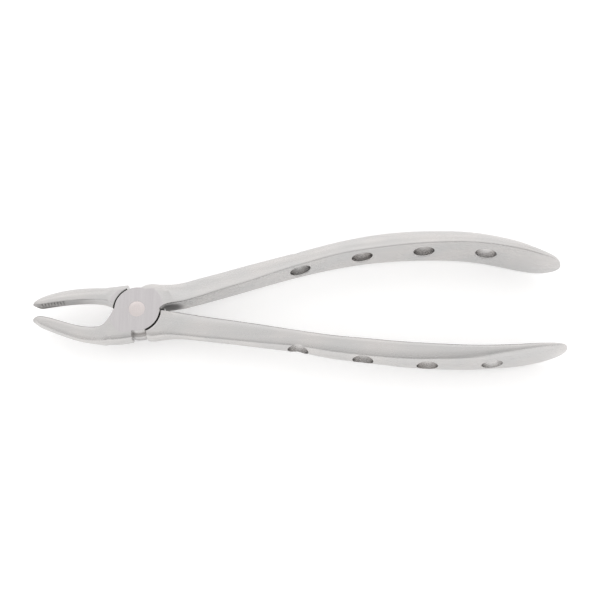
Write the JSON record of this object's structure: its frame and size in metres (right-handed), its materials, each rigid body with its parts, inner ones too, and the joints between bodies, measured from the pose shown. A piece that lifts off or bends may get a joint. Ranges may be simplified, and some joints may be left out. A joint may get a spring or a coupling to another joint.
{
  "type": "dental extraction forceps",
  "caption": "Steel tooth extraction forceps with slender serrated beaks, a lap joint on a flush rivet and long curved perforated grips.",
  "frame": {"origin": "on the pivot axis, in the flat back face of the joint", "axes": "+X from the pivot towards the handles, with the beaks on -X; +Z along the pivot axis from the back face to the front face; +Y across, towards the handle of the front half"},
  "size_m": [0.1742, 0.0463, 0.0172],
  "materials": {
    "satin_steel": "satin brushed stainless steel",
    "rivet_steel": "ground flush stainless steel"
  },
  "bodies": {
    "back_side": {"back_half": "satin_steel", "pivot_rivet": "rivet_steel"},
    "front_side": {"front_half": "satin_steel"}
  },
  "joints": [
    {"name": "pivot", "type": "hinge", "parent": "back_side", "child": "front_side", "pos_m": [0, 0, 0.0045], "axis": [0, 0, 1], "range_deg": [-4, 26]}
  ]
}
